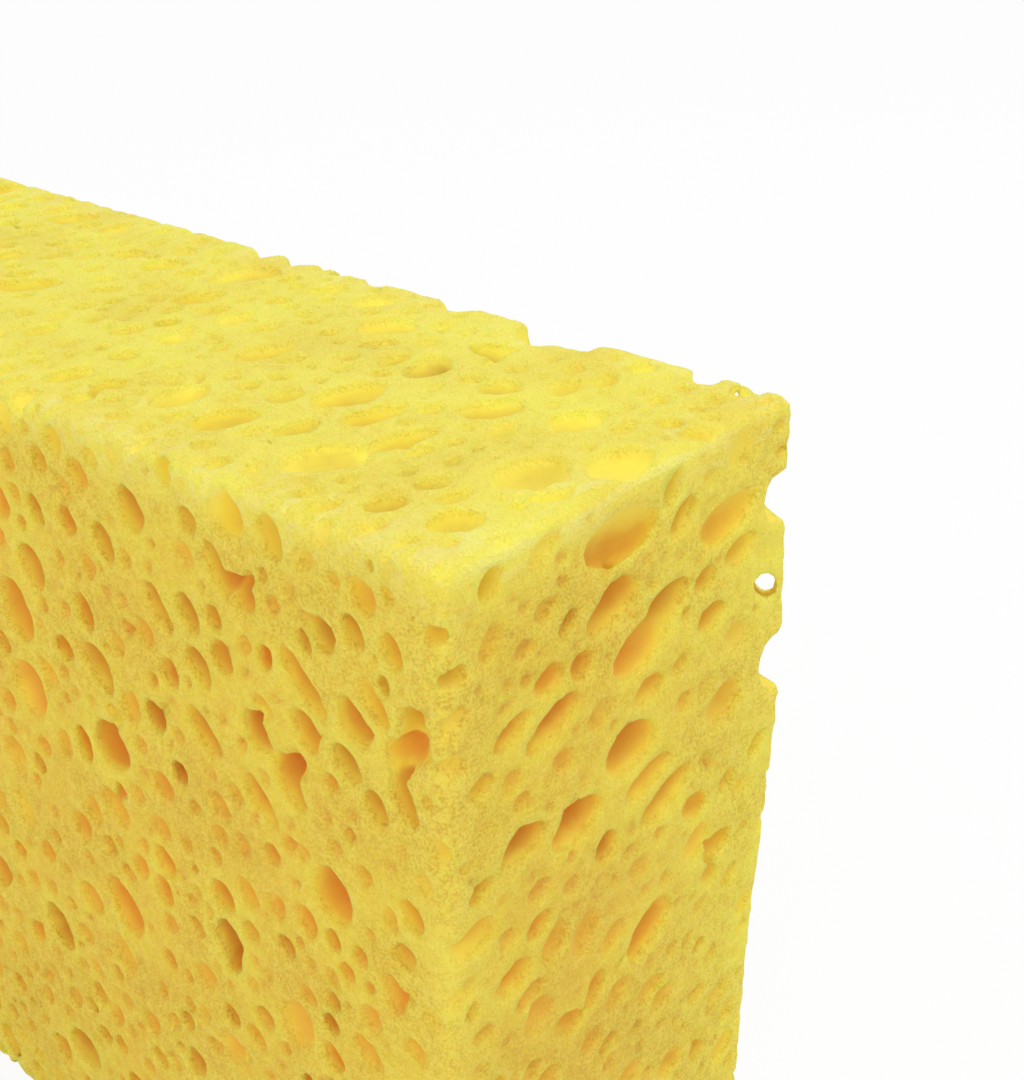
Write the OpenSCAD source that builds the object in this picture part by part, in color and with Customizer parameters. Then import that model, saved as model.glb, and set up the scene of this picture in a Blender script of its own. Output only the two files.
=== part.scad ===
// Open-pored cellulose cleaning sponge: one block cut from a slab, standing on its long narrow side.
// Origin: centre of the base. +X runs along the length, +Y through the thickness, +Z up.

/* [Block] */
// Length of the sponge, along its long narrow side
length = 120; // [80:1:180]
// Thickness of the slab that the sponge is cut from
thickness = 40; // [24:1:60]
// Height of the sponge as it stands on its long narrow side
height = 80; // [50:1:120]
// Rounding that the blade leaves on the cut edges
edge_r = 1.5; // [0.5:0.1:3]

/* [Open pores] */
// Length of the largest pores
pore_max = 8; // [5:0.5:12]
// Length of the smallest pores
pore_min = 3; // [2:0.5:4]
// Width of the slimmest pores, as a share of their length
slim = 0.5; // [0.4:0.05:0.7]
// Spacing of the pores on a face
pore_pitch = 8.5; // [8:0.5:20]
// Share of the places on a face that hold a pore
pore_share = 0.9; // [0.2:0.05:1]
// Share of the pores that lean in under the face
lean_share = 0.45; // [0:0.05:1]
// Angle of a leaning pore from straight in
lean = 48; // [20:1:55]

/* [Grain] */
// Fall of the pores' long way on the broad sides, towards the +X end
side_fall = 55; // [0:1:90]
// Rise of the pores' long way on the ends, towards +Y
end_rise = 24; // [0:1:90]
// Turn of the pores' long way from the length, on the top and the base
top_turn = 80; // [0:1:90]
// How far a pore turns from its grain, either way
spread = 14; // [0:1:45]

/* [Cut edges] */
// Spacing of the pores that the edges cut through
nick_pitch = 13; // [10:0.5:40]
// Length of the largest pore on an edge
nick_max = 6; // [3:0.5:8]

/* [Random placing] */
// Any other number gives another sponge of the same kind
seed = 5; // [1:1:99]

/* [Hidden] */
$fn = 24;

// Above 1, the smaller pores are the commoner
FAVOUR = 1.2;
// Width that the plumpest pores have over the slimmest, as a share of their length
PLUMP = 0.2;
// Small end of a pore against its large end: lying from the bluntest on, leaning, and on an edge
LYING_TAPER = [0.6, 0.95];
LEANING_TAPER = 0.7;
EDGE_TAPER = 0.8;
// How far a pore may stand out of its face or its edge, as a share of its width
FACE_LIFT = 0.15;
EDGE_LIFT = 0.1;
// How far a leaning pore starts outside its face
OUTSIDE = 0.2;
// Share of its place along an edge that a pore may move by
EDGE_DRIFT = 0.4;
// Numbers kept apart for the random draws: one pore, one row of a face, one edge, one face, all edges
PORE_STEP = 100;
ROW_STEP = 37;
EDGE_STEP = 100;
FACE_STEP = 1000;
EDGES_FROM = 10000;

// Each face: the turn that points its own +Z out of the block, its centre, its size and its grain
FACES = [
    [[0, 0, 0], [0, 0, height / 2], [length, thickness], top_turn],
    [[180, 0, 0], [0, 0, -height / 2], [length, thickness], -top_turn],
    [[90, 0, 0], [0, -thickness / 2, 0], [length, height], -side_fall],
    [[90, 0, 180], [0, thickness / 2, 0], [length, height], side_fall],
    [[90, 0, 90], [length / 2, 0, 0], [thickness, height], end_rise],
    [[90, 0, -90], [-length / 2, 0, 0], [thickness, height], -end_rise]
];

// Edges along X, Y and Z: the turn that lays local X along them, and the block's size in that turn
EDGE_WAYS = [
    [[0, 0, 0], [length, thickness, height]],
    [[0, 0, 90], [thickness, length, height]],
    [[0, -90, 0], [height, thickness, length]]
];

function mix(a, b, t) = a + (b - a) * t;
function draws(n, id) = rands(0, 1, n, PORE_STEP * id + seed);

module rounded_plate(w, d, h, r) {
    linear_extrude(h, center = true) {
        square([w - 2 * r, d], center = true);
        square([w, d - 2 * r], center = true);
        for (x = [-1, 1], y = [-1, 1])
            translate([x * (w / 2 - r), y * (d / 2 - r)]) circle(r);
    }
}

// The cut block, with every edge rounded
module block() {
    intersection() {
        rounded_plate(length, thickness, height, edge_r);
        rotate([90, 0, 90]) rounded_plate(thickness, height, length, edge_r);
        rotate([90, 0, 0]) rounded_plate(length, height, thickness, edge_r);
    }
}

// An egg-shaped pore that lies along local X: a large and a small sphere, and the cone between them
module lying_pore(l, w, taper) {
    big = w / 2;
    small = big * taper;
    gap = l - big - small;
    translate([big - l / 2, 0, 0]) rotate([0, 90, 0]) rotate([0, 0, 180])
        rotate_extrude() intersection() {
            union() {
                circle(big);
                translate([0, gap]) circle(small);
                polygon([[0, 0], [big, 0], [small, gap], [0, gap]]);
            }
            translate([0, -l]) square([l, 3 * l]);
        }
}

// A pore that leans in under the face towards local +X: a narrowing hole with a round end
module leaning_pore(l, w, taper) {
    mouth = w / 2;
    end = mouth * taper;
    reach = l - end;
    lift = mouth * tan(lean) + OUTSIDE;
    rotate([0, 180 - lean, 0]) rotate([0, 0, 180])
        rotate_extrude() intersection() {
            union() {
                polygon([[0, -lift], [mouth, -lift], [end, reach], [0, reach]]);
                translate([0, reach]) circle(end);
            }
            translate([0, -l]) square([l, 3 * l]);
        }
}

// The pores of one face, one to a place in a loose grid
module face_pores(id) {
    face = FACES[id];
    rows = [for (s = face[2]) floor((s - 2 * edge_r) / pore_pitch)];
    place = [for (q = [0, 1]) (face[2][q] - 2 * edge_r) / rows[q]];
    room = min(min(place), pore_max);
    translate(face[1]) rotate(face[0])
        for (i = [0:rows[0] - 1], j = [0:rows[1] - 1]) {
            d = draws(8, FACE_STEP * id + ROW_STEP * i + j);
            l = mix(pore_min, room, pow(d[0], FAVOUR));
            w = l * mix(slim, slim + PLUMP, d[1]);
            at = [for (q = [0, 1])
                place[q] * ([i, j][q] + 0.5) + edge_r - face[2][q] / 2 + (d[2 + q] - 0.5) * (place[q] - l)];
            if (d[4] < pore_share)
                translate([at[0], at[1], 0]) rotate(face[3] + spread * (2 * d[5] - 1))
                    if (d[6] < lean_share)
                        rotate(d[7] < 0.5 ? 0 : 180) leaning_pore(l, w, LEANING_TAPER);
                    else
                        translate([0, 0, FACE_LIFT * w * d[7]])
                            lying_pore(l, w, mix(LYING_TAPER[0], LYING_TAPER[1], d[6]));
        }
}

// Pores that the edges of the block run through, so the edges are broken
module edge_pores(id) {
    way = EDGE_WAYS[id];
    count = floor((way[1][0] - nick_max) / nick_pitch);
    rotate(way[0])
        for (y = [-1, 1], z = [-1, 1])
            translate([0, y * way[1][1] / 2, z * way[1][2] / 2]) rotate([z > 0 ? -45 * y : -135 * y, 0, 0])
                for (i = [0:count - 1]) {
                    d = draws(4, EDGES_FROM + FACE_STEP * id + EDGE_STEP * (2 * y + z + 3) + i);
                    l = mix(pore_min, nick_max, d[0]);
                    w = l * mix(slim, slim + PLUMP, d[1]);
                    translate([(i + 0.5 - count / 2 + EDGE_DRIFT * (d[2] - 0.5)) * nick_pitch, 0, EDGE_LIFT * w * d[3]])
                        lying_pore(l, w, EDGE_TAPER);
                }
}

module sponge() {
    color("#e8d44f")
        translate([0, 0, height / 2])
            difference() {
                block();
                for (id = [0:len(FACES) - 1]) face_pores(id);
                for (id = [0:len(EDGE_WAYS) - 1]) edge_pores(id);
            }
}

sponge();
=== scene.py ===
import math
import random

import bmesh
import bpy
import numpy as np
from mathutils import Euler, Matrix, Vector


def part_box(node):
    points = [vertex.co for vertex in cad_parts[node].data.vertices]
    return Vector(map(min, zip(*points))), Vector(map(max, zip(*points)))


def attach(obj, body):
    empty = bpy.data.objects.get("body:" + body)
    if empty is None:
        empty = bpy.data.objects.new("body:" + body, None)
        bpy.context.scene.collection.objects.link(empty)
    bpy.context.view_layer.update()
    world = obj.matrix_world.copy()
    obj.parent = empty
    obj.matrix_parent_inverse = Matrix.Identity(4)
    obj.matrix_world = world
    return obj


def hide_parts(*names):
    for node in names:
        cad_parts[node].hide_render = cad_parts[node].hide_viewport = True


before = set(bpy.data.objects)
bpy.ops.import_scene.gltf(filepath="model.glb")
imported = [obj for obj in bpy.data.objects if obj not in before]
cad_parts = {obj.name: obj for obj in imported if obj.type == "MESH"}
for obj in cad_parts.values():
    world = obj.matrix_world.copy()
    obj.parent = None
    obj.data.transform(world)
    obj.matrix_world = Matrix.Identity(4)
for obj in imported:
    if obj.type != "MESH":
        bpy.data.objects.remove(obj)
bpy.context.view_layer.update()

# Open-pored cellulose sponge. The pores are cut from a block of the frame's size, in millimetres
# round the block's centre, and the finished mesh is brought to the frame's metres at the end.

mm = 0.001
nodeLow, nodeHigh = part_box("sponge")
blockSize = (nodeHigh - nodeLow) / mm
blockHalf = blockSize / 2
blockCentre = (nodeLow + nodeHigh) / 2
upward = Vector((0, 0, 1))

spongeShape = {
    "edgeRound": 1.3,        # mm, what the blade leaves
    "grainRise": 24,         # degrees, how far the pores' long way climbs towards +Y
    "grainLean": 35,         # degrees, how far the flat pores lean back from upright
    "grainLoose": 13,        # degrees, how far a pore turns from the grain
    "sunk": ((-0.45, 0.5), (-0.5, 0.5), (-0.35, 0.35)),   # how far loose pores stand out, in half sizes:
                             # on the ends, the broad sides, and the top and base
    "mainSunk": 0.15,        # how far below the face a main pore's centre lies, as a share of its depth
    "looseWidth": (0.4, 0.6),            # least and most, as a share of the length
    "looseDepth": (0.55, 0.85),
    "topShare": 1.6,         # how much denser the pores are on the top and the base
    "solidCorner": 4.5,      # mm round the near top corner that loose pores keep out of
    "seed": 11,              # another number places the loose pores anew
    "tries": 30,             # for each loose pore
    "poreVoxel": 0.3,        # mm
    "skinVoxel": 0.34,       # mm
    "ripple": 0.12,          # mm, how far the cut faces wander in and out
    "rippleSize": 2.4,       # mm
    "fray": 0.10,            # mm, the finer wander that frays the rims
    "fraySize": 0.8,         # mm
    "smoothing": 1,          # passes that take the steps off the shallow pores
    "smoothShare": 0.5,      # how far each pass goes
    "swellAt": (0, 39.4, 27),            # mm in from the end, along from the near side and down
    "swellReach": (30, 14, 13),          # mm
    "swell": (0.6, 0.9, 0),              # mm, how far the far edge of the end has dried outwards
    "gridStep": 0.5,         # mm, the grid on which foam is measured
    "gridEdge": 8,           # mm of air round it
    "foamReach": (0.8, 2.2, 6.0),        # mm, from the fine to the coarse reach
    "triangles": 196000,
    "fineReach": 80,         # mm from the near top corner, where the faces stay finer
    "fineShare": 0.05,       # how strongly they are kept
    "fineSteps": 20,
}

# Loose pores: how many, shortest and longest in mm, how strongly short ones are favoured, the least
# wall between them in mm, and how far they may reach over an edge, as a share of their half size
poreKinds = [
    {"count": 290, "least": 4.6, "most": 8.0, "favour": 1.5, "wall": 0.6, "spill": -0.8},
    {"count": 2000, "least": 2.2, "most": 4.6, "favour": 1.0, "wall": 0.45, "spill": -0.5},
    {"count": 4000, "least": 1.1, "most": 2.2, "favour": 0.9, "wall": 0.3, "spill": 0.2},
]

# Second hollows that open from the large loose pores
joinedPores = {
    "share": 0.3,            # of the large pores
    "inward": 0.2,           # how strongly they turn to the middle of the block
    "apart": 0.9,            # share of the way from the first one's centre to its wall
    "size": (0.45, 0.75),    # share of the first one's size
    "turn": 20,              # degrees
}

# How a ball is shaped into a pore, in shares of its half size
poreLumps = {
    "waves": 5,              # that swell it here and there
    "pitch": 1.7,            # radians across the half size
    "swell": (0.04, 0.12),
    "taper": 0.25,
    "pinch": 0.35,           # at both ends
    "bend": 0.15,
    "batch": 60,             # balls shaped at a time
    "levels": [(4, 2.2, 99), (3, 0.95, 2.2), (2, 0, 0.95)],   # subdivisions, and half lengths in mm
}

# The large pores round the near top corner, in mm and degrees: the face, how far along it from the
# corner, how far down or across, length, width, depth, and the turn of the long way
mainPores = [
    ("end", 18.5, 4.1, 9.0, 5.4, 1.2, 4),
    ("end", 25.4, 5.2, 3.8, 2.0, 2.4, 32),
    ("end", 31.4, 7.4, 8.4, 3.8, 1.3, 18),
    ("end", 33.2, 10.8, 4.6, 2.2, 1.8, 12),
    ("end", 17.3, 9.2, 6.4, 2.9, 2.8, 14),
    ("end", 23.5, 11.8, 6.0, 3.2, 4.0, 26),
    ("end", 20.8, 14.0, 7.0, 4.0, 2.2, 16),
    ("end", 29.2, 15.2, 4.4, 2.2, 2.2, 14),
    ("end", 28.4, 11.8, 3.2, 2.0, 1.6, 20),
    ("end", 12.6, 8.6, 2.6, 1.6, 2.0, 30),
    ("end", 14.2, 12.6, 2.6, 2.0, 1.4, 20),
    ("end", 4.7, 2.6, 2.8, 2.0, 2.0, 45),
    ("end", 10.8, 16.0, 6.6, 2.2, 2.4, 22),
    ("end", 6.8, 14.6, 4.6, 1.6, 1.6, 20),
    ("end", 1.4, 8.0, 2.4, 1.6, 2.0, 15),
    ("end", 0.9, 14.6, 2.8, 2.0, 1.0, 5),
    ("end", 19.8, 22.2, 5.8, 4.0, 4.0, 0),
    ("end", 21.9, 26.2, 6.0, 2.2, 1.6, 18),
    ("end", 24.2, 29.2, 7.0, 2.6, 2.8, 22),
    ("end", 13.7, 25.6, 5.6, 3.2, 3.6, 10),
    ("end", 7.6, 24.2, 4.8, 2.6, 3.4, 14),
    ("end", 17.2, 29.8, 2.8, 2.4, 3.0, 20),
    ("broad", 2.8, 12.8, 4.3, 2.7, 3.2, 72),
    ("broad", 4.3, 15.2, 3.0, 2.8, 2.6, 30),
    ("broad", 6.6, 12.0, 4.2, 1.8, 1.5, 50),
    ("broad", 8.6, 14.2, 4.0, 2.4, 3.0, 52),
    ("broad", 13.5, 13.2, 6.9, 2.0, 2.6, 44),
    ("broad", 9.4, 18.0, 3.6, 2.2, 4.0, 35),
    ("broad", 19.1, 19.2, 3.8, 2.2, 3.4, 58),
    ("broad", 15.7, 22.3, 5.0, 2.4, 3.6, 60),
    ("broad", 19.2, 25.4, 5.0, 2.0, 2.6, 48),
    ("broad", 13.4, 17.0, 3.6, 2.2, 3.0, 52),
    ("broad", 11.0, 8.4, 2.8, 2.3, 4.0, 70),
    ("broad", 8.2, 7.2, 2.8, 1.8, 2.5, 55),
    ("broad", 4.6, 7.2, 3.2, 1.6, 1.6, 65),
    ("broad", 7.2, 4.0, 3.0, 2.4, 1.5, 50),
    ("broad", 15.8, 2.8, 4.2, 2.4, 2.0, 70),
    ("broad", 19.4, 8.0, 3.2, 2.0, 3.0, 55),
    ("broad", 22.0, 7.0, 4.0, 1.5, 3.0, 62),
    ("broad", 25.6, 12.0, 3.6, 2.0, 3.6, 55),
    ("broad", 29.1, 13.0, 4.4, 1.7, 3.0, 50),
    ("broad", 24.9, 16.3, 3.8, 2.1, 3.6, 55),
    ("broad", 31.5, 5.4, 3.8, 2.6, 3.5, 65),
    ("broad", 35.4, 9.2, 3.4, 2.2, 3.5, 60),
    ("broad", 25.2, 22.0, 4.8, 2.0, 3.0, 42),
    ("broad", 38.0, 21.5, 5.0, 2.8, 4.0, 45),
    ("broad", 6.6, 20.4, 3.2, 1.8, 2.4, 55),
    ("broad", 3.9, 18.6, 4.2, 2.0, 2.4, 60),
    ("top", 16.8, 14.0, 7.4, 2.4, 1.8, 82),
    ("top", 21.8, 15.8, 6.4, 3.0, 1.8, 80),
    ("top", 26.0, 17.5, 7.0, 4.0, 1.9, 80),
    ("top", 6.0, 15.0, 6.4, 4.4, 1.2, 82),
    ("top", 9.5, 25.0, 6.0, 3.8, 1.5, 80),
    ("top", 4.6, 6.4, 4.2, 3.2, 1.5, 75),
    ("top", 18.5, 7.5, 6.5, 4.5, 1.3, 75),
    ("top", 29.5, 8.0, 6.0, 3.4, 1.7, 78),
    ("top", 2.5, 21.0, 6.5, 4.0, 1.3, 85),
]

# Each face at the near top corner: the ways along it, across it and out of it, and how far its main
# pores climb as they go in, in degrees
nearFaces = {
    "end": ((0, 1, 0), (0, 0, -1), (1, 0, 0), 30),
    "broad": ((-1, 0, 0), (0, 0, -1), (0, -1, 0), 22),
    "top": ((-1, 0, 0), (0, 1, 0), (0, 0, 1), 0),
}

# Pores that break through the far upright edge and the far top edge, in mm: how far along from the
# near broad side, how far down, how far in from the end, diameter and length; and the way they run
throughPores = [
    (39.2, 8.6, 0.8, 4.2, 7.0),
    (37.8, 16.1, 1.0, 2.1, 10.0),
    (39.6, 23.6, 0.8, 5.2, 8.0),
    (38.4, 0.6, 24.0, 5.2, 7.0),
    (39.0, 0.6, 20.8, 4.0, 6.0),
    (39.4, 0.6, 8.0, 3.0, 6.0),
    (39.6, 0.4, 34.8, 3.6, 5.0),
    (39.9, 0.3, 45.0, 2.8, 5.0),
    (39.5, 0.4, 55.6, 3.4, 5.0),
    (39.6, 0.4, 60.4, 3.2, 5.0),
]
throughWay = (-0.5, 0.77, -0.4)

spongeLook = {
    "skin": "F2D64F",          # the cut surface between the pores
    "skinShade": "DDB945",     # its duller patches
    "litTop": "F8EB62",         # painted light: the top, paler where the light from above falls on it
    "litTopReach": (5.5, 0.3),  # mm down, where it starts and where it is full
    "litTopPoreShade": "DCC650",     # painted shade in the top's pores
    "streak": "FAF29A",        # pale fibres along the thin edges
    "thinEdge": "F5E05C",      # where light comes through
    "poreRimShade": "EFBF49",       # painted shade just inside a pore
    "poreWallShade": "EB9F3D",      # deeper painted shade further in
    "poreEndShade": "E48034",       # the deepest painted shade, on the deepest walls
    "wallStops": [             # the foam round a point, and its colour: painted glow where little foam is round it, painted shade where much is
        (0.32, "thinEdge"), (0.42, "skin"), (0.5, "poreRimShade"), (0.6, "poreWallShade"), (0.76, "poreEndShade")],
    "deepFoam": (0.5, 0.66),   # foam round a point where the top's pores start and are full
    "thinFoam": (0.42, 0.34),  # foam round a point where an edge starts to be thin and is thinnest
    "poreStart": (0.2, 0.6),   # mm under the cut face
    "shallow": (0.8, 2.5),     # mm between which a pore loses its paler wall
    "shallowLift": 0.045,      # how far back on the stops that wall is
    "farGlow": "FBEE5E",         # painted glow on the far edge of the end, where light comes through from behind
    "farGlowReach": (24.0, 26.0, 4.0),     # mm from the far broad side, from the end, and where it is full
    "farGlowShare": (0.45, 0.85),          # in its pores and on its cut faces
    "patches": (0.35, 0.7),    # mottle where skinShade starts and is full
    "patchShare": 0.3,
    "grain": 0.24,             # mm, the fine crumbs of the foam
    "grainHeight": 0.7,        # mm
    "shadeBetweenCrumbs": "D6AC44",    # painted shade between the crumbs
    "shadeGrain": (0.52, 0.38),          # grain where it starts and is full
    "shadeOnTop": 0.3,         # share of it that shows on the top, where light is painted
    "shadeInPatches": (0.2, 0.6),   # share of it in the faint and in the strong patches
    "shadePatchMottle": (0.4, 0.6),
    "highlightOnCrumbs": "F8E67A",    # painted highlight on the crumbs
    "lightGrain": (0.5, 0.64),
    "lightShare": 0.35,
    "clump": 0.9,              # mm, crumbs gathered in clumps
    "clumpShare": 0.35,
    "rimFade": (0.3, 0.8),     # mm under the cut face, where the crumbs give way to the smooth pore
    "rimWander": 1.6,          # mm, how far the crumbs fray the rims of the pores
    "poreRough": 0.1,          # share of the bumps that a pore's wall keeps
    "fibre": (0.5, 3.5),       # mm, width and length of the fine fibres
    "fibreTurn": (20, 0, -10),           # degrees
    "fibreHeight": 0.25,       # mm
    "streakFibre": (0.48, 0.62),
    "streakShare": 0.45,
    "mottle": 9.0,             # mm, soft changes of colour
    "roughness": 0.85,
    "shine": 0.15,
    "glow": 0.6,               # how much light passes through the thin walls
    "glowReach": (1.0, 0.45, 0.08),
    "glowDepth": 3.0,          # mm
}

studio = {
    "cameraAt": (60.5, -63.1, 45.4),     # mm from the near top corner
    "cameraTilt": 63.75,                 # degrees
    "cameraTurn": 40.95,
    "sensor": 36,                        # mm
    "lens": 54.4,                        # mm
    "clipStart": 0.005,                  # m
    "sky": 0.81,                         # light from all round
    "lamps": [((0.25, 0.25, 0.70), 0.40, 1.5), ((0.30, -0.80, 0.40), 0.50, 1.8)],   # m, m across, W
    "lampAim": (0, 0, 0.06),             # m
    "floor": "EDEDEB",
    "floorSize": 6.0,                    # m
    "floorWhite": 0.92,                  # the rest is the board, which holds the shadow
}

dice = random.Random(spongeShape["seed"])
pores = []


def toLinear(hexColour):
    parts = [int(hexColour[n:n + 2], 16) / 255 for n in (0, 2, 4)]
    return [c / 12.92 if c <= 0.04045 else ((c + 0.055) / 1.055) ** 2.4 for c in parts] + [1.0]


# A pore is an ellipsoid: centre, axes as columns (width, length, depth) and half sizes
def addPore(centre, axes, half):
    axes = np.array(axes)
    pores.append({
        "centre": np.array(centre, float),
        "axes": axes,
        "half": np.array(half, float),
        "reach": max(half),
        "inverse": axes @ np.diag(1 / np.array(half)) @ axes.T,
    })


def isClear(centre, axes, half, wall, known):
    apart = known["centre"] - centre
    distance = np.linalg.norm(apart, axis=1)
    near = distance < known["reach"] + max(half) + wall
    if not near.any():
        return True
    way = apart[near] / distance[near][:, None]
    axes = np.array(axes)
    inverse = axes @ np.diag(1 / np.array(half)) @ axes.T
    theirs = 1 / np.linalg.norm(np.einsum("nij,nj->ni", known["inverse"][near], way), axis=1)
    ours = 1 / np.linalg.norm(way @ inverse.T, axis=1)
    return bool((distance[near] > ours + theirs + wall).all())


def knownPores():
    return {key: np.array([p[key] for p in pores]) for key in ("centre", "reach", "inverse")}


def addMainPores():
    corner = Vector((blockHalf.x, -blockHalf.y, blockHalf.z))
    for face, along, down, length, width, depth, turn in mainPores:
        ways = [Vector(w) for w in nearFaces[face][:3]]
        turn = math.radians(turn)
        long = ways[0] * math.cos(turn) - ways[1] * math.sin(turn)
        axes = Matrix((ways[2].cross(long), long, ways[2])).transposed()
        hinge = upward.cross(ways[2])
        if hinge.length > 0:
            axes = Matrix.Rotation(math.radians(nearFaces[face][3]), 3, hinge) @ axes
        sunk = spongeShape["mainSunk"] * depth
        centre = corner + ways[0] * along + ways[1] * down - ways[2] * sunk
        addPore(centre, axes, (width / 2, length / 2, depth))
    axes = Vector(throughWay).to_track_quat("Y", "Z").to_matrix()
    for along, down, inward, across, length in throughPores:
        centre = corner + Vector((-inward, along, -down))
        addPore(centre, axes, (across / 2, length / 2, across / 2))


def addLoosePores(kind):
    grain = (Matrix.Rotation(math.radians(spongeShape["grainRise"]), 3, "X")
             @ Matrix.Rotation(math.radians(-spongeShape["grainLean"]), 3, "Y"))
    faces = [(0, 1, 2), (1, 2, 0), (0, 2, 1)]
    shares = (1, 1, spongeShape["topShare"])
    areas = [blockSize[along] * blockSize[across] * shares[out] for along, across, out in faces]
    corner = np.array((blockHalf.x, -blockHalf.y, blockHalf.z))
    made = 0
    known = knownPores()
    for attempt in range(kind["count"] * spongeShape["tries"]):
        if made == kind["count"]:
            break
        along, across, out = dice.choices(faces, areas)[0]
        side = dice.choice((-1, 1))
        length = kind["least"] + (kind["most"] - kind["least"]) * dice.random() ** kind["favour"]
        width = length * dice.uniform(*spongeShape["looseWidth"])
        depth = length * dice.uniform(*spongeShape["looseDepth"])
        half = (width / 2, length / 2, depth / 2)
        stray = Euler([math.radians(dice.gauss(0, spongeShape["grainLoose"])) for n in range(3)])
        axes = np.array(grain @ stray.to_matrix())
        extent = np.sqrt(((axes * np.array(half)) ** 2).sum(axis=1))
        centre = np.zeros(3)
        for way in (along, across):
            centre[way] = dice.uniform(-1, 1) * (blockHalf[way] + kind["spill"] * extent[way])
        sunk = dice.uniform(*spongeShape["sunk"][out])
        centre[out] = side * (blockHalf[out] + sunk * extent[out])
        if np.linalg.norm(centre - corner) < spongeShape["solidCorner"]:
            continue
        if not isClear(centre, axes, half, kind["wall"], known):
            continue
        addPore(centre, axes, half)
        made += 1
        last = pores[-1]
        for key in known:
            known[key] = np.concatenate([known[key], np.array([last[key]])])
    return made


# Second hollows that open from the large loose pores, clear of the first ones on the list
def addJoinedPores(first):
    known = {key: values[:first] for key, values in knownPores().items()}
    for pore in pores[first:]:
        if dice.random() > joinedPores["share"]:
            continue
        way = Vector([dice.gauss(0, 1) for n in range(3)]).normalized()
        inward = Vector(-pore["centre"]).normalized()
        way = (way + joinedPores["inward"] * inward).normalized()
        offset = 1 / np.linalg.norm(pore["inverse"] @ np.array(way))
        half = pore["half"] * dice.uniform(*joinedPores["size"])
        stray = Euler([math.radians(dice.gauss(0, joinedPores["turn"])) for n in range(3)]).to_matrix()
        centre = pore["centre"] + np.array(way) * offset * joinedPores["apart"]
        axes = pore["axes"] @ np.array(stray)
        if isClear(centre, axes, half, poreKinds[0]["wall"], known):
            addPore(centre, axes, half)


# Lumpy balls, one for each pore of the batch, all with the same number of points
def poreBatch(batch, level):
    bm = bmesh.new()
    for pore in batch:
        bmesh.ops.create_icosphere(bm, subdivisions=level, radius=1.0)
    mesh = bpy.data.meshes.new("poreBatch")
    bm.to_mesh(mesh)
    bm.free()
    points = np.empty(len(mesh.vertices) * 3)
    mesh.vertices.foreach_get("co", points)
    points = points.reshape(len(batch), -1, 3)
    draws = np.random.default_rng(dice.randrange(10 ** 6))
    count = len(batch)
    waves = draws.normal(0, poreLumps["pitch"], (count, poreLumps["waves"], 3))
    starts = draws.uniform(0, 2 * math.pi, (count, poreLumps["waves"]))
    size = draws.uniform(*poreLumps["swell"], count)[:, None]
    lumps = np.sin(np.einsum("nvk,nwk->nvw", points, waves) + starts[:, None, :])
    swell = 1 + size * lumps.mean(axis=2) * 2
    along = points[:, :, 1]
    taper = draws.uniform(-poreLumps["taper"], poreLumps["taper"], count)[:, None]
    pinch = draws.uniform(0, poreLumps["pinch"], count)[:, None]
    narrow = 1 + taper * along - pinch * along ** 2
    half = np.array([p["half"] for p in batch])
    bend = draws.uniform(-poreLumps["bend"], poreLumps["bend"], count)[:, None] * half[:, 1:2] * along ** 2
    shaped = np.stack([
        points[:, :, 0] * half[:, 0:1] * narrow * swell + bend,
        points[:, :, 1] * half[:, 1:2] * swell,
        points[:, :, 2] * half[:, 2:3] * narrow * swell], axis=2)
    axes = np.array([p["axes"] for p in batch])
    centres = np.array([p["centre"] for p in batch])
    placed = np.einsum("nij,nvj->nvi", axes, shaped) + centres[:, None, :]
    mesh.vertices.foreach_set("co", placed.reshape(-1))
    return mesh


def newObject(name, mesh):
    made = bpy.data.objects.new(name, mesh)
    bpy.context.scene.collection.objects.link(made)
    return made


def applyModifiers(piece):
    graph = bpy.context.evaluated_depsgraph_get()
    fresh = bpy.data.meshes.new_from_object(piece.evaluated_get(graph))
    fresh.materials.clear()          # a boolean leaves an empty slot
    piece.modifiers.clear()
    old = piece.data
    piece.data = fresh
    bpy.data.meshes.remove(old)


def addModifier(piece, kind, **settings):
    modifier = piece.modifiers.new(kind.lower(), kind)
    for name, value in settings.items():
        setattr(modifier, name, value)
    return modifier


def buildCutter():
    whole = bmesh.new()
    batch = poreLumps["batch"]
    for level, least, most in poreLumps["levels"]:
        group = [p for p in pores if least <= p["half"][1] < most]
        for first in range(0, len(group), batch):
            mesh = poreBatch(group[first:first + batch], level)
            whole.from_mesh(mesh)
            bpy.data.meshes.remove(mesh)
    mesh = bpy.data.meshes.new("cutter")
    whole.to_mesh(mesh)
    whole.free()
    cutter = newObject("cutter", mesh)
    addModifier(cutter, "REMESH", mode="VOXEL", voxel_size=spongeShape["poreVoxel"], adaptivity=0)
    applyModifiers(cutter)
    return cutter


def buildBlock():
    bm = bmesh.new()
    bmesh.ops.create_cube(bm, size=1)
    bmesh.ops.scale(bm, vec=blockSize, verts=bm.verts)
    bmesh.ops.bevel(bm, geom=bm.edges[:], offset=spongeShape["edgeRound"], offset_type="OFFSET",
                    segments=4, profile=0.5, affect="EDGES", material=-1)
    mesh = bpy.data.meshes.new("sponge")
    bm.to_mesh(mesh)
    bm.free()
    return newObject("cellulose_sponge", mesh)


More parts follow.
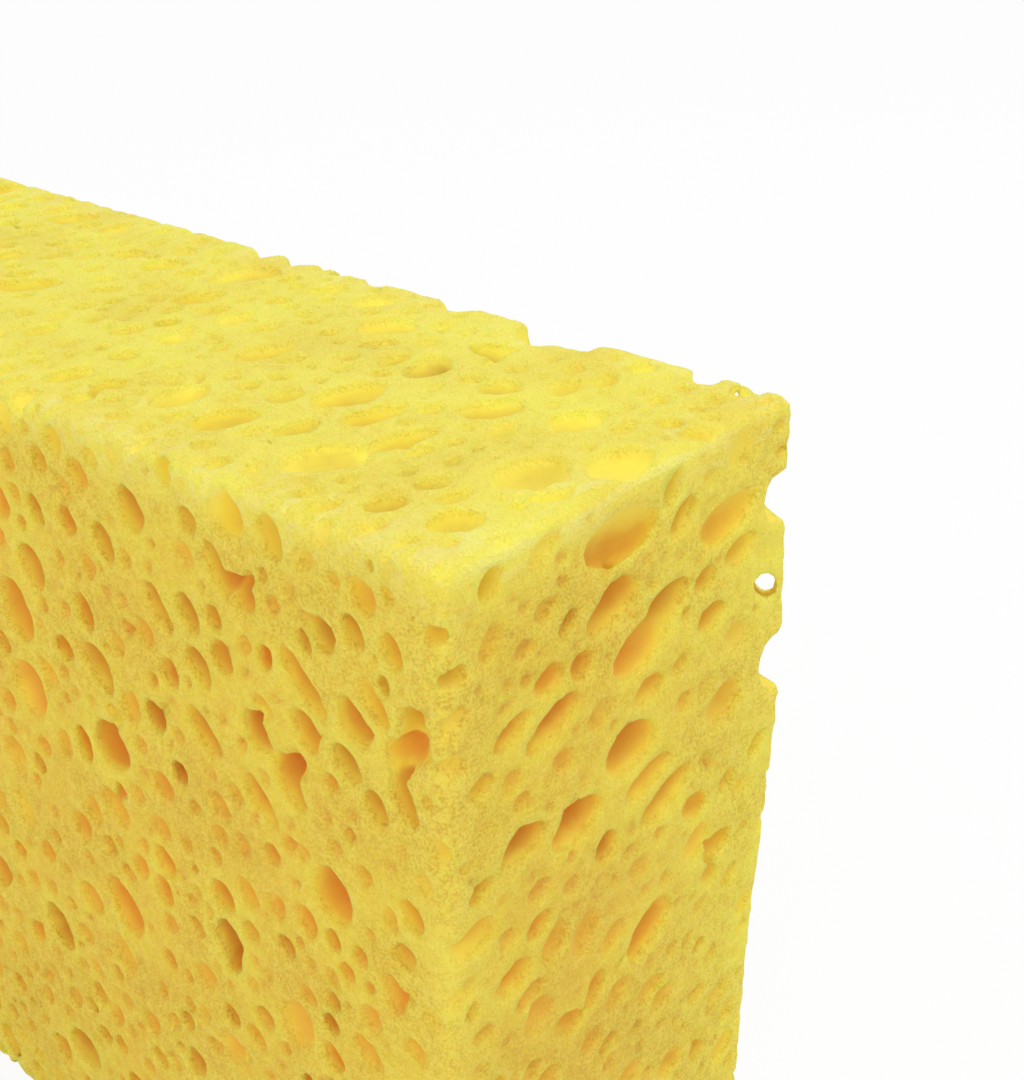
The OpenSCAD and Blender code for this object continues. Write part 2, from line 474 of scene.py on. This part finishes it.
# Crumbs that the pores have cut free are dropped: only the piece that holds the most points stays
def dropCrumbs(piece):
    bm = bmesh.new()
    bm.from_mesh(piece.data)
    group = np.full(len(bm.verts), -1)
    sizes = []
    for start in bm.verts:
        if group[start.index] >= 0:
            continue
        group[start.index] = len(sizes)
        waiting = [start]
        size = 0
        while waiting:
            point = waiting.pop()
            size += 1
            for edge in point.link_edges:
                other = edge.other_vert(point)
                if group[other.index] < 0:
                    group[other.index] = len(sizes)
                    waiting.append(other)
        sizes.append(size)
    largest = int(np.argmax(sizes))
    bmesh.ops.delete(bm, geom=[v for v in bm.verts if group[v.index] != largest], context="VERTS")
    bm.to_mesh(piece.data)
    bm.free()
    return len(sizes) - 1


def cloudTexture(name, size):
    texture = bpy.data.textures.new(name, "CLOUDS")
    texture.noise_scale = size
    texture.noise_depth = 2
    return texture


def pointsOf(mesh):
    points = np.empty(len(mesh.vertices) * 3)
    mesh.vertices.foreach_get("co", points)
    return points.reshape(-1, 3)


# Fewer triangles, and more of them kept round the near top corner
def thinFaces(piece):
    triangles = sum(len(p.vertices) - 2 for p in piece.data.polygons)
    corner = np.array((blockHalf.x, -blockHalf.y, blockHalf.z))
    away = np.linalg.norm(pointsOf(piece.data) - corner, axis=1) / spongeShape["fineReach"]
    group = piece.vertex_groups.new(name="thin")
    steps = spongeShape["fineSteps"]
    rank = np.clip(np.round(away ** 2 * steps), 0, steps).astype(int)
    for step in range(steps + 1):
        group.add(np.nonzero(rank == step)[0].tolist(), step / steps, "REPLACE")
    addModifier(piece, "DECIMATE", ratio=spongeShape["triangles"] / triangles,
                use_collapse_triangulate=True, vertex_group="thin",
                vertex_group_factor=spongeShape["fineShare"])
    applyModifiers(piece)
    piece.vertex_groups.clear()


# How much foam lies round each cell of a grid, from 0 to 1: the block less its pores, blurred at a
# fine and a coarse reach
def foamRound():
    step = spongeShape["gridStep"]
    edge = spongeShape["gridEdge"]
    count = [int(2 * (half + edge) / step) for half in blockHalf]
    ticks = [-half - edge + step * (np.arange(n) + 0.5) for half, n in zip(blockHalf, count)]
    inside = [np.abs(t) < half for t, half in zip(ticks, blockHalf)]
    foam = np.zeros(count, np.float32)
    foam[np.ix_(*inside)] = 1
    for pore in pores:
        centre = pore["centre"]
        extent = np.sqrt(((pore["axes"] * pore["half"]) ** 2).sum(axis=1))
        cut = [slice(*np.searchsorted(t, (c - e, c + e))) for t, c, e in zip(ticks, centre, extent)]
        offsets = [t[part] - c for t, part, c in zip(ticks, cut, centre)]
        apart = np.stack(np.meshgrid(*offsets, indexing="ij"), -1)
        foam[tuple(cut)][((apart @ pore["inverse"].T) ** 2).sum(axis=-1) < 1] = 0
    waves = [np.fft.fftfreq(n, step) for n in count[:2]] + [np.fft.rfftfreq(count[2], step)]
    square = waves[0][:, None, None] ** 2 + waves[1][None, :, None] ** 2 + waves[2][None, None, :] ** 2
    blur = sum(np.exp(-2 * (math.pi * reach) ** 2 * square) for reach in spongeShape["foamReach"])
    spread = np.fft.irfftn(np.fft.rfftn(foam) * blur, s=count) / len(spongeShape["foamReach"])
    return spread, np.array([t[0] for t in ticks]), step


def sampleGrid(grid, start, step, points):
    place = (points - start) / step
    low = np.clip(np.floor(place).astype(int), 0, np.array(grid.shape) - 2)
    part = place - low
    value = 0
    for x in (0, 1):
        for y in (0, 1):
            for z in (0, 1):
                weight = np.prod(np.where((x, y, z), part, 1 - part), axis=1)
                value = value + weight * grid[low[:, 0] + x, low[:, 1] + y, low[:, 2] + z]
    return value


# Two numbers on each point for the material: its depth below the nearest cut face in mm, and how
# much foam lies round it, which is least on a thin edge and most deep in a pore
def markPoints(piece):
    points = pointsOf(piece.data)
    depth = (np.array(blockHalf) - np.abs(points)).min(axis=1)
    foam = sampleGrid(*foamRound(), points)
    for name, values in (("poreDepth", np.clip(depth, 0, None)), ("foamRound", foam)):
        attribute = piece.data.attributes.new(name, "FLOAT", "POINT")
        attribute.data.foreach_set("value", values.astype(np.float32))


# The far edge of the end stands out a little, as a sponge dries out of true
def swellFarEdge(piece):
    points = pointsOf(piece.data)
    inward, along, down = spongeShape["swellAt"]
    middle = np.array((blockHalf.x - inward, along - blockHalf.y, blockHalf.z - down))
    share = np.exp(-0.5 * (((points - middle) / np.array(spongeShape["swellReach"])) ** 2).sum(axis=1))
    points += share[:, None] * np.array(spongeShape["swell"])
    piece.data.vertices.foreach_set("co", points.reshape(-1))


def buildSponge():
    addMainPores()
    first = len(pores)
    made = [addLoosePores(poreKinds[0])]
    addJoinedPores(first)
    made += [addLoosePores(kind) for kind in poreKinds[1:]]
    print("pores placed:", made, len(pores), flush=True)
    cutter = buildCutter()
    print("pores joined:", len(cutter.data.vertices), "points", flush=True)
    piece = buildBlock()
    addModifier(piece, "BOOLEAN", operation="DIFFERENCE", solver="MANIFOLD", object=cutter)
    applyModifiers(piece)
    bpy.data.objects.remove(cutter)
    addModifier(piece, "REMESH", mode="VOXEL", voxel_size=spongeShape["skinVoxel"], adaptivity=0)
    addModifier(piece, "DISPLACE", strength=spongeShape["ripple"] * 2, mid_level=0.5,
                texture=cloudTexture("ripple", spongeShape["rippleSize"]))
    addModifier(piece, "DISPLACE", strength=spongeShape["fray"] * 2, mid_level=0.5,
                texture=cloudTexture("fray", spongeShape["fraySize"]))
    addModifier(piece, "SMOOTH", factor=spongeShape["smoothShare"], iterations=spongeShape["smoothing"])
    applyModifiers(piece)
    print("pores cut:", len(piece.data.vertices), "points", flush=True)
    print("crumbs dropped:", dropCrumbs(piece), flush=True)
    thinFaces(piece)
    print("faces thinned to", len(piece.data.polygons), flush=True)
    markPoints(piece)
    swellFarEdge(piece)
    print("points marked", flush=True)
    piece.data.transform(Matrix.Translation(blockCentre) @ Matrix.Scale(mm, 4))
    piece.data.shade_smooth()
    return piece


# Adds a node, sets its own settings, and fills its sockets with a value or with a link
def addNode(tree, kind, settings, sockets):
    made = tree.nodes.new("ShaderNode" + kind)
    for name, value in settings.items():
        setattr(made, name, value)
    for name, value in sockets.items():
        if isinstance(value, bpy.types.NodeSocket):
            tree.links.new(value, made.inputs[name])
        else:
            made.inputs[name].default_value = value
    return made.outputs


# The scale of a pattern whose parts measure this many mm
def perMm(size):
    return 1 / (size * mm)


def newMaterial(name):
    material = bpy.data.materials.new(name)
    material.use_nodes = True
    material.node_tree.nodes.clear()
    return material, material.node_tree


def noise(tree, place, size, detail=2.0):
    return addNode(tree, "TexNoise", {}, {"Vector": place, "Scale": perMm(size), "Detail": detail})["Fac"]


# A value taken from one range to another and clamped to it
def ranged(tree, value, start, end, first=0.0, last=1.0):
    return addNode(tree, "MapRange", {}, {"Value": value, "From Min": start, "From Max": end,
                                          "To Min": first, "To Max": last})[0]


def times(tree, *values):
    product = values[0]
    for value in values[1:]:
        product = addNode(tree, "Math", {"operation": "MULTIPLY"}, {0: product, 1: value})[0]
    return product


def blend(tree, share, under, over):
    return addNode(tree, "Mix", {"data_type": "RGBA"}, {0: share, 6: under, 7: over})[2]


# Crumbs, fibres and soft patches, each from 0 to 1
def foamPatterns(tree, place):
    look = spongeLook
    crumbs = noise(tree, place, look["grain"])
    clumps = noise(tree, place, look["clump"])
    grain = addNode(tree, "Mix", {}, {0: look["clumpShare"], 2: crumbs, 3: clumps})[0]
    width, length = look["fibre"]
    stretched = addNode(tree, "Mapping", {}, {
        "Vector": place,
        "Rotation": [math.radians(angle) for angle in look["fibreTurn"]],
        "Scale": (1, width / length, 1)})[0]
    return grain, noise(tree, stretched, width * 2), noise(tree, place, look["mottle"])


# How strongly light is painted on the top and glow on the far edge of the end, from 0 to 1
def litParts(tree, place, outer):
    look = spongeLook
    parts = addNode(tree, "SeparateXYZ", {}, {"Vector": place})
    starts, full = look["litTopReach"]
    litTop = addNode(tree, "MapRange", {"interpolation_type": "SMOOTHSTEP"}, {
        "Value": parts["Z"], "From Min": nodeHigh.z - starts * mm, "From Max": nodeHigh.z - full * mm})[0]
    across, starts, full = look["farGlowReach"]
    farSide = ranged(tree, parts["Y"], nodeHigh.y - across * mm, nodeHigh.y)
    nearEnd = ranged(tree, parts["X"], nodeHigh.x - starts * mm, nodeHigh.x - full * mm)
    return litTop, times(tree, farSide, nearEnd, ranged(tree, outer, 0.0, 1.0, *look["farGlowShare"]))


# Painted glow and shade on the foam by how much of it lies round a point, and paler where a pore is
# shallow
def foamShadeAndGlow(tree, foam, depth):
    look = spongeLook
    inPore = ranged(tree, depth, *look["poreStart"])
    shallow = times(tree, inPore, ranged(tree, depth, *look["shallow"], look["shallowLift"], 0.0))
    lifted = addNode(tree, "Math", {"operation": "SUBTRACT"}, {0: foam, 1: shallow})[0]
    # painted glow on thin edges and painted shade deeper in the pores
    wall = tree.nodes.new("ShaderNodeValToRGB")
    tree.links.new(lifted, wall.inputs[0])
    stops = look["wallStops"]
    ramp = wall.color_ramp
    for position, name in stops[1:-1]:
        ramp.elements.new(position)
    for element, (position, name) in zip(ramp.elements, stops):
        element.position = position
        element.color = toLinear(look[name])
    return wall.outputs[0]


# Regenerated cellulose foam, moulded round salt crystals and cut with a blade: matt and crumbly, pale
# on the cut faces, with smooth walls in the pores, painted orange as shade where light has to cross the
# foam
def celluloseFoam():
    look = spongeLook
    material, tree = newMaterial("regenerated cellulose foam")
    place = addNode(tree, "TexCoord", {}, {})["Object"]
    depth = addNode(tree, "Attribute", {"attribute_name": "poreDepth"}, {})["Fac"]
    foam = addNode(tree, "Attribute", {"attribute_name": "foamRound"}, {})["Fac"]
    tint = {name: toLinear(look[name]) for name in (
        "skinShade", "litTop", "litTopPoreShade", "streak", "farGlow", "shadeBetweenCrumbs", "highlightOnCrumbs")}
    grain, fibre, mottle = foamPatterns(tree, place)

    # The cut faces, with frayed rims
    wander = look["rimWander"]
    starts, ends = [at + wander / 2 for at in look["rimFade"]]
    frayed = addNode(tree, "Math", {"operation": "MULTIPLY_ADD"}, {0: grain, 1: wander, 2: depth})[0]
    outer = ranged(tree, frayed, starts, ends, 1.0, 0.0)

    litTop, farGlowMask = litParts(tree, place, outer)
    # painted light on the top, with painted shade in its pores
    top = blend(tree, ranged(tree, foam, *look["deepFoam"]), tint["litTop"], tint["litTopPoreShade"])
    colour = blend(tree, litTop, foamShadeAndGlow(tree, foam, depth), top)
    # painted glow on the far edge of the end
    colour = blend(tree, farGlowMask, colour, tint["farGlow"])
    thin = ranged(tree, foam, *look["thinFoam"])
    streaks = times(tree, thin, litTop, ranged(tree, fibre, *look["streakFibre"]), look["streakShare"])
    colour = blend(tree, streaks, colour, tint["streak"])
    patches = ranged(tree, mottle, *look["patches"], 0.0, look["patchShare"])
    colour = blend(tree, patches, colour, tint["skinShade"])

    # The grain, on the cut faces only: painted shade between the crumbs and painted highlights on them
    sides = ranged(tree, litTop, 0.0, 1.0, 1.0, look["shadeOnTop"])
    # painted shade between the crumbs, stronger in some soft patches than in others
    shadePatchiness = ranged(tree, mottle, *look["shadePatchMottle"], *look["shadeInPatches"])
    between = times(tree, ranged(tree, grain, *look["shadeGrain"]), outer, sides, shadePatchiness)
    colour = blend(tree, between, colour, tint["shadeBetweenCrumbs"])
    # painted highlight on the crumbs
    raised = times(tree, ranged(tree, grain, *look["lightGrain"]), outer, look["lightShare"])
    colour = blend(tree, raised, colour, tint["highlightOnCrumbs"])

    rough = ranged(tree, outer, 0.0, 1.0, look["poreRough"], 1.0)
    fibreBump = addNode(tree, "Bump", {}, {
        "Height": fibre, "Strength": rough, "Distance": look["fibreHeight"] * mm})[0]
    grainBump = addNode(tree, "Bump", {}, {
        "Height": grain, "Strength": rough, "Distance": look["grainHeight"] * mm, "Normal": fibreBump})[0]
    surface = addNode(tree, "BsdfPrincipled", {}, {
        "Base Color": colour, "Normal": grainBump, "Roughness": look["roughness"],
        "Specular IOR Level": look["shine"], "Subsurface Weight": look["glow"],
        "Subsurface Radius": look["glowReach"], "Subsurface Scale": look["glowDepth"] * mm})[0]
    addNode(tree, "OutputMaterial", {}, {"Surface": surface})
    return material


# 1 for what the eye sees, also in or through something, and 0 for the light that falls on things
def seenDirectly(tree):
    rays = addNode(tree, "LightPath", {}, {})
    mirrored = addNode(tree, "Math", {"operation": "ADD"}, {
        0: rays["Is Camera Ray"], 1: rays["Is Glossy Ray"]})[0]
    return addNode(tree, "Math", {"operation": "ADD", "use_clamp": True}, {
        0: mirrored, 1: rays["Is Transmission Ray"]})[0]


# Pale matt board: white to the eye, and it keeps a soft share of the shadow
def paleBoard():
    material, tree = newMaterial("pale matt board")
    board = addNode(tree, "BsdfDiffuse", {}, {"Color": toLinear(studio["floor"])})[0]
    white = addNode(tree, "Emission", {}, {"Color": (1, 1, 1, 1), "Strength": 1.0})[0]
    share = times(tree, seenDirectly(tree), studio["floorWhite"])
    mixed = addNode(tree, "MixShader", {}, {0: share, 1: board, 2: white})[0]
    addNode(tree, "OutputMaterial", {}, {"Surface": mixed})
    return material


def buildFloor():
    bm = bmesh.new()
    bmesh.ops.create_grid(bm, x_segments=1, y_segments=1, size=studio["floorSize"] / 2)
    mesh = bpy.data.meshes.new("floor")
    bm.to_mesh(mesh)
    bm.free()
    floor = newObject("floor", mesh)
    mesh.materials.append(paleBoard())


def buildLight():
    scene = bpy.context.scene
    scene.world = bpy.data.worlds.new("soft room")
    scene.world.use_nodes = True
    tree = scene.world.node_tree
    tree.nodes.clear()
    level = ranged(tree, seenDirectly(tree), 0.0, 1.0, studio["sky"], 1.0)
    room = addNode(tree, "Background", {}, {"Color": (1, 1, 1, 1), "Strength": level})[0]
    addNode(tree, "OutputWorld", {}, {"Surface": room})
    for number, (at, size, power) in enumerate(studio["lamps"]):
        lamp = bpy.data.lights.new("lamp%d" % number, "AREA")
        lamp.shape = "DISK"
        lamp.size = size
        lamp.energy = power
        stand = newObject(lamp.name, lamp)
        stand.location = at
        stand.rotation_euler = (Vector(studio["lampAim"]) - Vector(at)).to_track_quat("-Z", "Y").to_euler()
    scene.view_settings.view_transform = "Standard"


def buildCamera():
    camera = bpy.data.cameras.new("camera")
    camera.sensor_width = studio["sensor"]
    camera.lens = studio["lens"]
    camera.clip_start = studio["clipStart"]
    stand = newObject("camera", camera)
    corner = Vector((nodeHigh.x, nodeLow.y, nodeHigh.z))
    stand.location = corner + Vector(studio["cameraAt"]) * mm
    stand.rotation_euler = (math.radians(studio["cameraTilt"]), 0, math.radians(studio["cameraTurn"]))
    bpy.context.scene.camera = stand


buildCamera()
buildLight()
buildFloor()
print("studio ready", flush=True)

sponge = buildSponge()
sponge.data.materials.append(celluloseFoam())
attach(sponge, "root")
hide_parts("sponge")
print("sponge finished", flush=True)
